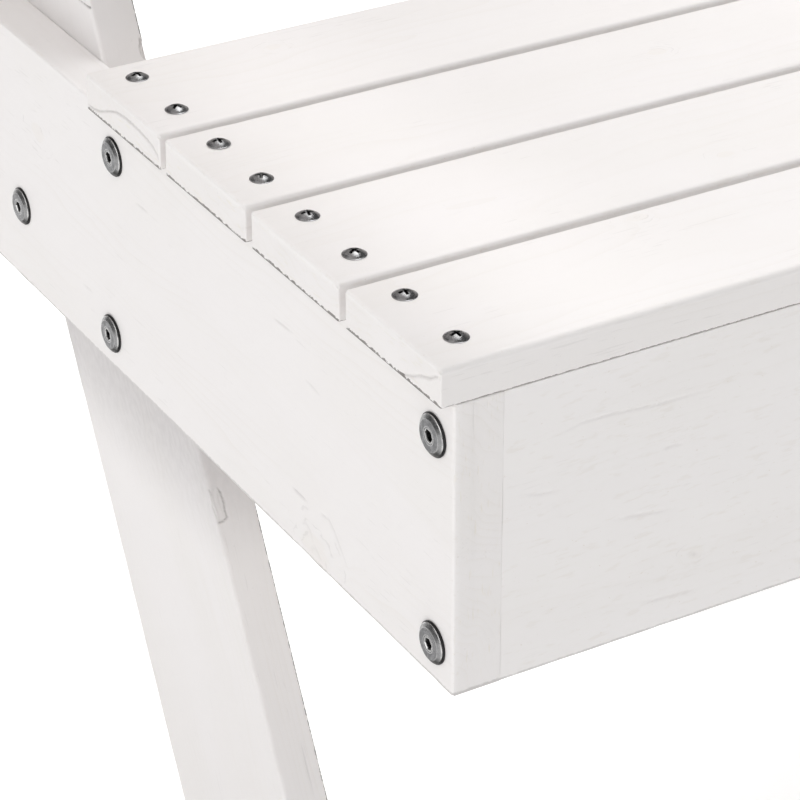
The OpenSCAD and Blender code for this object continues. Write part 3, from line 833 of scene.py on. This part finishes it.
def add_leg(node, seed, degrees, features=None, **more):
    """Leg that leans in the plane of its side, with painted shade just under the rail that stands proud of
    it.
    """
    low, high, size = span(node)
    angle = math.radians(degrees)
    sine, cosine = math.sin(angle), math.cos(angle)
    rear_foot_y = low.y + LEG_W * MM / cosine if degrees > 0 else high.y
    board = (size.z / cosine, LEG_W, size.x)
    if features:
        features.size = board

    def cut(v):
        return -v * math.tan(angle)

    foot = Vector((low.x, rear_foot_y, low.z))
    add_board(node, place_at(foot, Vector((0, sine, cosine)), Vector((0, -cosine, sine))), board, seed,
              low_end=cut, high_end=cut, features=features,
              corners=(((cosine, sine, 0), rail_under, PAINTED_SHADE_REACH),), **more)


# Places along the leg in the features are measured before its ends are cut at a slant
slant = LEG_W * math.tan(lean)
left_leg_marks = (
    Features(0, 0, 0)
    .chip("far", (182 + slant, 3.4), (8.6, 3.0), 0.55, 0.10, 0.0)
    .crack("far", [(191.4 + slant, 5.2), (188 + slant, 6.5), (183 + slant, 7.2), (178.6 + slant, 6.6),
                   (175 + slant, 7.0), (173.7 + slant, 4.2), (173.6 + slant, 0.8)],
           0.45, 0.9, (0.12, 0.08), 0.55)
    .crack("far", [(191 + slant, 0.6), (188.6 + slant, 1.6), (186 + slant, 2.0)], 0.45, 0.5, (0.1, 0.4), 0.30)
    .crack("far", [(189 + slant, 4.4), (183 + slant, 4.9), (178 + slant, 4.2)], 0.6, 0.4, (0.3, 0.3), 0.06)
    .crack("low", [(438.3 + slant * 0.92, 126.4), (435.5 + slant * 0.96, 132), (433 + slant, 137.8)],
           0.32, 0.8, (0.03, 0.0), 1.0)
    .chip("far", (407.5 + slant, 22.6), (5.0, 2.0), 1.1, 0.2, 0.3)
    .crack("far", [(56 + slant, 16.9), (44 + slant, 16.5), (28 + slant, 16.8)], 0.35, 0.4, (0.3, 0.3), 0.18)
)
leg_fine = (lines_in((168 + slant, 196 + slant, 0.8), (398 + slant, 416 + slant, 1.0),
                     (428 + slant * 0.9, 442 + slant, 1.0)),
            lines_in((124, 138, 0.8)), lines_in((0.8, 9, 0.6), (15.6, 18, 0.4), (19, 23, 0.6)))
add_leg("left_front_leg", 41, FRONT_LEAN, features=left_leg_marks, extra=leg_fine, steps=(8.0, 4.0, 4.0),
        radii=(1.4, 2.0, 1.0, 1.0), knots=[(330, 60, 4.0), (560, 80, 6.0)],
        seams=((2, BOARD_T, 1.0, "edges"),))
add_leg("right_front_leg", 42, FRONT_LEAN, radii=(1.0, 1.0, 1.4, 2.0), seams=((2, 0.0, 1.0, "edges"),))
add_leg("left_rear_leg", 43, -REAR_LEAN)
add_leg("right_rear_leg", 44, -REAR_LEAN)

# Back rails, lying against the back slats' rear faces
back_origin = Vector((0, SEAT_FRONT + BACK_Y * MM, RAIL_TOP))
back_dowels = [spot for spot, _ in seats_of("cross_dowels", lambda c: -OUT_BACK)]


def add_back_rail(node, seed, foot, height, thick):
    """Board across the back, its foot measured up the back from the seat."""
    low, _, size = span(node)
    origin = back_origin + UP_BACK * foot * MM - OUT_BACK * (SLAT_T + thick) * MM
    origin.x = low.x
    matrix = place_at(origin, RIGHT, UP_BACK)
    spots = [matrix.inverted() @ spot for spot in back_dowels]
    holes = [((spot.x, spot.y, 0.0), (0, 0, 1)) for spot in spots
             if 0 < spot.x < size.x and 0 < spot.y < height and -1 < spot.z < thick + 1]
    add_board(node, matrix, (size.x, height, thick), seed, holes=holes)


add_back_rail("lower_back_rail", 51, foot=16.0, height=70.0, thick=BOARD_T)
add_back_rail("middle_back_rail", 52, foot=195.0, height=55.0, thick=BOARD_T)
add_back_rail("top_back_batten", 53, foot=485.0, height=55.0, thick=SLAT_T)


def add_back_slat(number):
    """Slat of the back's fan, narrower at its foot and cut off along the arch."""
    side = number - 3
    turn = math.radians(side * FAN_STEP)
    sine, cosine = math.sin(turn), math.cos(turn)
    along = UP_BACK * cosine + RIGHT * sine
    across = OUT_BACK.cross(along)
    half = BACK_SLAT_TOP_W / 2

    def arch(c):
        x, y = BACK_PITCH * side - c * cosine, c * sine - ARCH_MID
        dot = x * sine + y * cosine
        return -dot + np.sqrt(dot * dot - x * x - y * y + ARCH_R ** 2)

    length = float(arch(0.0)) - BACK_FOOT

    def foot_cut(v):
        return (BACK_FOOT - (v - half) * sine) / cosine - BACK_FOOT

    def top_cut(v):
        return arch(v - half) - BACK_FOOT - length

    def narrower(u):
        return (half - BACK_SLAT_W / 2) * (1 - u / (BACK_SLAT_FLARE_AT - BACK_FOOT))

    origin = back_origin + RIGHT * BACK_PITCH * side * MM + along * BACK_FOOT * MM
    origin = origin - across * half * MM - OUT_BACK * SLAT_T * MM
    add_board(f"back_slat_{number}", place_at(origin, along, across), (length, BACK_SLAT_TOP_W, SLAT_T),
              60 + number, radii=(1.2, 1.2, 2.6, 2.6), end_r=(1.2, 2.2), corner_r=(1.5, 5.0, 5.0, 1.5),
              low_end=foot_cut, high_end=top_cut, low_side=narrower, high_side=lambda u: -narrower(u),
              knots=some_knots(length, BACK_SLAT_W, 3))


for number in (1, 2, 3, 4, 5):
    add_back_slat(number)


def add_arm(node, seed, outer_far):
    """Arm with its grain to the back. Its outer edge tapers in towards the back."""
    low, high, size = span(node)

    def taper(u):
        return ARM_TAPER * np.clip((u - size.y + ARM_TAPER_LEN) / ARM_TAPER_LEN, 0, 1)

    rear = (ARM_REAR_R, ARM_INNER_R) if outer_far else (ARM_INNER_R, ARM_REAR_R)
    sides = {"high_side": lambda u: -taper(u)} if outer_far else {"low_side": taper}
    add_board(node, place_at(Vector((high.x, low.y, low.z)), BACK, -RIGHT), (size.y, size.x, size.z), seed,
              radii=(1.4, 1.4, 3.0, 3.0), end_r=(1.4, 3.0), corner_r=(ARM_CORNER_R, *rear, ARM_CORNER_R),
              extra=([size.y - ARM_TAPER_LEN], (), ()), knots=some_knots(size.y, size.x, 3), **sides)


add_arm("left_arm", 71, outer_far=True)
add_arm("right_arm", 72, outer_far=False)

# Arm braces, rising to the front, cut flush with the legs and level under the arms
for node, seed in (("left_arm_brace", 81), ("right_arm_brace", 82)):
    low, high, size = span(node)
    rise, tan_lean = math.radians(BRACE_RISE), math.tan(lean)
    cos_r, sin_r = math.cos(rise), math.sin(rise)
    top = (high.z - RAIL_TOP) / MM
    front_y = (low.y - SEAT_FRONT) / MM
    upper_y = front_y + BRACE_W / sin_r
    leg_low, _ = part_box(node.replace("arm_brace", "front_leg"))
    leg_rear = (leg_low.y - SEAT_FRONT) / MM + LEG_W / math.cos(lean) + (RAIL_TOP - leg_low.z) / MM * tan_lean
    both = cos_r + sin_r * tan_lean
    length = (leg_rear - upper_y + top * tan_lean) / both
    foot_y, foot_z = upper_y + length * cos_r, top - length * sin_r
    origin = Vector((low.x, SEAT_FRONT + foot_y * MM, RAIL_TOP + foot_z * MM))
    add_board(node, place_at(origin, Vector((0, -cos_r, sin_r)), Vector((0, -sin_r, -cos_r))),
              (length, BRACE_W, size.x), seed,
              low_end=partial(mul, (cos_r * tan_lean - sin_r) / both), high_end=partial(mul, cos_r / sin_r))

# ---- Fasteners ----

RING_POINTS = 72

# Dowels further back than this, in metres from the chair's middle, are in the rear apron
REAR_DOWELS_FROM = 0.2


def ring_radius(shape, size, angles):
    """Distance of an outline from its middle, at each angle."""
    if shape == "hex":
        sixth = math.pi / 3
        return size * math.cos(sixth / 2) / np.cos((angles % sixth) - sixth / 2)
    if shape in ("cross", "slot"):
        reach, slot = size
        half = math.pi / (4 if shape == "cross" else 2)
        fold = np.abs((angles + half) % (2 * half) - half)
        return np.minimum(reach / np.maximum(np.cos(fold), 1e-6), slot / np.maximum(np.sin(fold), 1e-6))
    return np.full(len(angles), size)


def turned(rings, closed_ring=False):
    """Solid from rings (size, height, worn, sunk, shape), from the middle of its top round to its bottom.
    A size of 0 is a point. The shape is round where it isn't given. The height may depend on the radius."""
    angles = np.arange(RING_POINTS) * 2 * math.pi / RING_POINTS
    points, faces, worn, sunk, rows = [], [], [], [], []
    for size, height, is_worn, is_sunk, *shape in rings:
        count = 1 if size == 0 else RING_POINTS
        row = [len(points) + k for k in range(count)]
        rows.append(row * (RING_POINTS // count))
        radius = ring_radius(shape[0] if shape else "round", size, angles)[:count]
        level = height(radius) if callable(height) else np.full(count, height)
        points += list(zip(radius * np.cos(angles)[:count], radius * np.sin(angles)[:count], level))
        worn += [is_worn] * count
        sunk += [is_sunk] * count
    pairs = list(zip(rows, rows[1:])) + ([(rows[-1], rows[0])] if closed_ring else [])
    for inner, outer in pairs:
        for k in range(RING_POINTS):
            n = (k + 1) % RING_POINTS
            face = [inner[k], outer[k], outer[n], inner[n]]
            faces.append([i for j, i in enumerate(face) if i != face[j - 1]])
    return np.array(points, float), faces, np.array(worn, float), np.array(sunk, float)


def bolt_shape(length, radius=9.25, head=1.9, socket=2.9, shank_r=4.0):
    """Low socket head with a wide flat, a chamfer and a thin rim, its top at 0."""
    flat = radius - 2.0
    return turned([
        (0, -2.9, 0, 0.8), (1.2, -2.6, 0, 0.8), (socket * 0.93, -2.2, 0.1, 0.7, "hex"),
        (socket * 0.97, -0.75, 0.3, 0.3, "hex"), (socket, -0.38, 0.8, 0, "hex"),
        (socket * 1.08, -0.12, 1, 0, "hex"), (socket * 1.26, -0.08, 0, 0.5), (socket * 1.36, 0.0, 0.6, 0),
        (socket * 1.5, 0.0, 0, 0), (flat - 0.5, 0.0, 0, 0), (flat - 0.2, -0.01, 0.1, 0),
        (flat + 0.05, -0.10, 0.5, 0), (flat + 0.4, -0.26, 0.25, 0), (radius - 0.55, -1.08, 0.3, 0),
        (radius - 0.2, -1.24, 1, 0), (radius - 0.04, -1.42, 1, 0), (radius, -1.62, 0.6, 0),
        (radius - 0.05, -head + 0.12, 0.1, 0.5), (radius - 0.25, -head, 0, 1), (shank_r + 0.3, -head, 0, 1),
        (shank_r, -head - 0.3, 0, 0.5), (shank_r, -length + 0.8, 0, 0.2), (shank_r - 0.6, -length, 0.3, 0),
        (0, -length, 0, 0),
    ])


def screw_shape(length, radius=5.5, head=2.2, shank_r=2.5):
    """Pan head with a cross recess, its top at 0."""
    dome = (radius * radius + head * head) / (2 * head)
    reach, slot = radius * 0.52, radius * 0.125

    def level(r):
        return np.sqrt(dome * dome - r * r) - dome

    return turned([
        (0, -1.9, 0, 1), ((reach * 0.45, slot * 0.8), -1.5, 0, 1, "cross"),
        ((reach * 0.9, slot * 0.92), lambda r: level(r) - 0.25, 0, 0.8, "cross"),
        ((reach, slot * 1.05), level, 0.4, 0.6, "cross"),
        ((reach * 1.12, slot * 1.5), lambda r: level(r) + 0.02, 0.3, 0.3, "cross"),
        (radius * 0.66, level, 0.15, 0), (radius * 0.78, level, 0.1, 0), (radius * 0.90, level, 0.2, 0),
        (radius * 0.975, level, 0.3, 0), (radius, -head + 0.12, 0.5, 0.2), (radius * 0.985, -head, 0, 1),
        (shank_r, -head, 0, 1), (shank_r, -length + 4, 0, 0), (0, -length, 0, 0),
    ])


def washer_shape(radius=9.75, hole=4.1, thick=0.8):
    return turned([
        (hole, -0.1, 0, 1), (hole + 0.15, 0.0, 0, 1), (radius - 0.7, 0.0, 0, 0.9),
        (radius - 0.18, 0.0, 0.2, 0.3), (radius, -0.16, 0.35, 0), (radius, -thick + 0.1, 0, 0.6),
        (radius - 0.12, -thick, 0, 1), (hole, -thick, 0, 1),
    ], closed_ring=True)


def nut_shape(corner=7.2, hole=4.05, thick=6.5):
    flat = corner * math.cos(math.pi / 6)
    return turned([
        (hole, -0.6, 0, 1), (hole + 0.6, 0.0, 0.6, 0.2), (flat - 0.4, 0.0, 0, 0),
        (flat - 0.05, -0.06, 0.8, 0), (corner, -0.85, 0.9, 0, "hex"), (corner, -thick + 0.85, 0.2, 0, "hex"),
        (flat - 0.05, -thick + 0.06, 0, 0.6), (flat - 0.5, -thick, 0, 1), (hole, -thick, 0, 1),
    ], closed_ring=True)


def dowel_shape(radius=6.0, length=18.0):
    """Cross dowel with a driver's slot in the end that shows."""
    return turned([
        (0, -1.6, 0, 1), ((radius * 0.72, 0.65), -1.5, 0, 1, "slot"),
        ((radius * 0.80, 0.8), -0.1, 0.8, 0.3, "slot"), ((radius * 0.84, 1.1), 0.0, 0.6, 0, "slot"),
        (radius - 0.75, 0.0, 0, 0), (radius - 0.5, -0.08, 0.8, 0), (radius - 0.06, -0.6, 0.6, 0),
        (radius, -0.9, 0.1, 0), (radius, -length + 0.7, 0, 0), (radius - 0.6, -length, 0, 0.3),
        (0, -length, 0, 0),
    ])


def add_fasteners(node, name, material, shape, axis_of, seed):
    """All of a CAD node's like fasteners in one piece, each turned by chance about its own axis."""
    rng = np.random.default_rng(seed)
    base, faces, worn, sunk = shape
    points, all_faces, local, spots = [], [], [], []
    for k, (top, axis) in enumerate(seats_of(node, axis_of)):
        spin = Matrix.Rotation(rng.uniform(0, 2 * math.pi), 4, "Z")
        turn = axis.to_track_quat("Z", "Y").to_matrix().to_4x4()
        matrix = np.array(Matrix.Translation(top) @ turn @ spin @ Matrix.Scale(MM, 4))
        all_faces += [[i + k * len(base) for i in f] for f in faces]
        points.append(base @ matrix[:3, :3].T + matrix[:3, 3])
        local.append(base)
        spots.append(np.full(len(base), 37.0 * k))
    count = len(points)
    values = {"worn": np.tile(worn, count), "sunk": np.tile(sunk, count), "spot": np.concatenate(spots),
              "head": np.concatenate(local)}
    obj = make_object(name, np.concatenate(points), all_faces, values, Matrix.Identity(4))
    obj.data.materials.append(material)
    obj.data.set_sharp_from_angle(angle=math.radians(40))
    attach(obj, "root")
    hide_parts(node)


def dowel_axis(centre):
    """Way out of a dowel's hole: behind the back, behind the rear apron, or into the chair's middle."""
    if centre[2] > RAIL_TOP:
        return -OUT_BACK
    return -BACK if centre[1] > REAR_DOWELS_FROM else BACK


# The last number of each steel is how strongly painted shade darkens its down-facing parts
bolt_steel = turned_steel("bolt_steel", 1, (0.17, 0.17, 0.174), (0.62, 0.615, 0.61), 0.28, 0.95)
washer_steel = turned_steel("washer_steel", 2, (0.030, 0.030, 0.032), (0.12, 0.12, 0.12), 0.40, 0.8)
zinc_steel = turned_steel("zinc_steel", 3, (0.50, 0.50, 0.51), (0.80, 0.80, 0.79), 0.36, 0.3)
screw_steel = turned_steel("screw_steel", 4, (0.20, 0.20, 0.205), (0.45, 0.445, 0.44), 0.24, 0.3)

fastener_sets = (
    ("rail_end_bolts", "rail_end_bolt_set", "bolt_steel", bolt_steel, bolt_shape(72.7), sideways),
    ("back_rail_bolts", "back_rail_bolt_set", "bolt_steel", bolt_steel, bolt_shape(72.7), sideways),
    ("leg_bolts", "leg_bolt_set", "bolt_steel", bolt_steel, bolt_shape(57.0), sideways),
    ("leg_bolt_nuts", "leg_bolt_nut_set", "zinc_steel", zinc_steel, nut_shape(), lambda c: -sideways(c)),
    ("bolt_washers", "washer_set", "washer_steel", washer_steel, washer_shape(), sideways),
    ("cross_dowels", "cross_dowel_set", "zinc_steel", zinc_steel, dowel_shape(), dowel_axis),
    ("seat_screws", "seat_screw_set", "screw_steel", screw_steel, screw_shape(47.0), lambda c: UP),
    ("back_screws", "back_screw_set", "screw_steel", screw_steel, screw_shape(36.0), lambda c: OUT_BACK),
    ("arm_screws", "arm_screw_set", "screw_steel", screw_steel, screw_shape(52.0), lambda c: UP),
)
for seed, (node, name, slot, material, shape, axis_of) in enumerate(fastener_sets, start=201):
    add_fasteners(node, name, material, shape, axis_of, seed)

# ---- Floor, light and camera ----

SKY = 0.188
FLOOR_GLOW = 0.385
FLOOR_REACH = 14
LAMP_DISTANCE = 6.0
LAMP_SIZE = 4.0
LAMP_WATTS = 50
SEAT_MIDDLE = Vector((0, 0, 0.4))

# Each lamp's direction from the seat's middle, and its strength. The strengths started from a least-squares
# fit to brightnesses read in the photo, made by a scratch program, and were then changed by hand.
LAMPS = {
    "left": ((-1, 0, 1.1), 0.028), "left_front": ((-1, -0.6, 0.5), 0.026),
    "over_left": ((-0.8, -0.7, 1), 0.042), "front": ((0, -1, 0.7), 0.011),
    "top": ((0.2, 0.35, 1), 0.146), "rear": ((0.5, 1, 0.2), 0.05),
}

floor_mesh = bpy.data.meshes.new("floor")
work = bmesh.new()
bmesh.ops.create_grid(work, x_segments=24, y_segments=24, size=FLOOR_REACH)
work.to_mesh(floor_mesh)
work.free()
floor = linked("floor", floor_mesh)
floor_material, tree, shader = new_material("pale_floor")
fill(tree, shader, {"Base Color": (0.86, 0.86, 0.86, 1), "Roughness": 0.9, "Specular IOR Level": 0.1,
                    "Emission Color": (1, 1, 1, 1), "Emission Strength": FLOOR_GLOW})
floor_mesh.materials.append(floor_material)
floor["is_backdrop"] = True

world = bpy.data.worlds.new("studio")
world.use_nodes = True
world.node_tree.nodes["Background"].inputs[0].default_value = (1, 1, 1, 1)
world.node_tree.nodes["Background"].inputs[1].default_value = SKY
bpy.context.scene.world = world


for name, (direction, strength) in LAMPS.items():
    data = bpy.data.lights.new(name, "AREA")
    data.shape, data.size = "SQUARE", LAMP_SIZE
    data.energy = strength * LAMP_WATTS * LAMP_DISTANCE ** 2
    lamp = linked(name, data)
    away = Vector(direction).normalized()
    lamp.location = SEAT_MIDDLE + away * LAMP_DISTANCE
    lamp.rotation_euler = (-away).to_track_quat("-Z", "Y").to_euler()

# The camera's angles, and its place as seen from the left rail's upper front corner, in metres. These and the
# lens were fitted to the photo's edges by a scratch program.
AZIMUTH, ELEVATION, ROLL = math.radians(29.93), math.radians(30.07), math.radians(-0.19)
CAMERA_FROM_CORNER = Vector((-0.5677, -0.9435, 0.6402))
camera_data = bpy.data.cameras.new("camera")
camera_data.sensor_width = 36
camera_data.lens = 144.87
camera_data.clip_end = 100
camera = linked("camera", camera_data)
level_part = math.cos(ELEVATION)
forward = Vector((math.sin(AZIMUTH) * level_part, math.cos(AZIMUTH) * level_part, -math.sin(ELEVATION)))
level = Vector((math.cos(AZIMUTH), -math.sin(AZIMUTH), 0))
upward = level.cross(forward)
right = level * math.cos(ROLL) + upward * math.sin(ROLL)
upward = right.cross(forward)
pose = Matrix((right, upward, -forward)).transposed().to_4x4()
pose.translation = Vector((rail_low.x, rail_low.y, rail_high.z)) + CAMERA_FROM_CORNER
camera.matrix_world = pose
bpy.context.scene.camera = camera
bpy.context.scene.view_settings.view_transform = "Standard"

low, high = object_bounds()
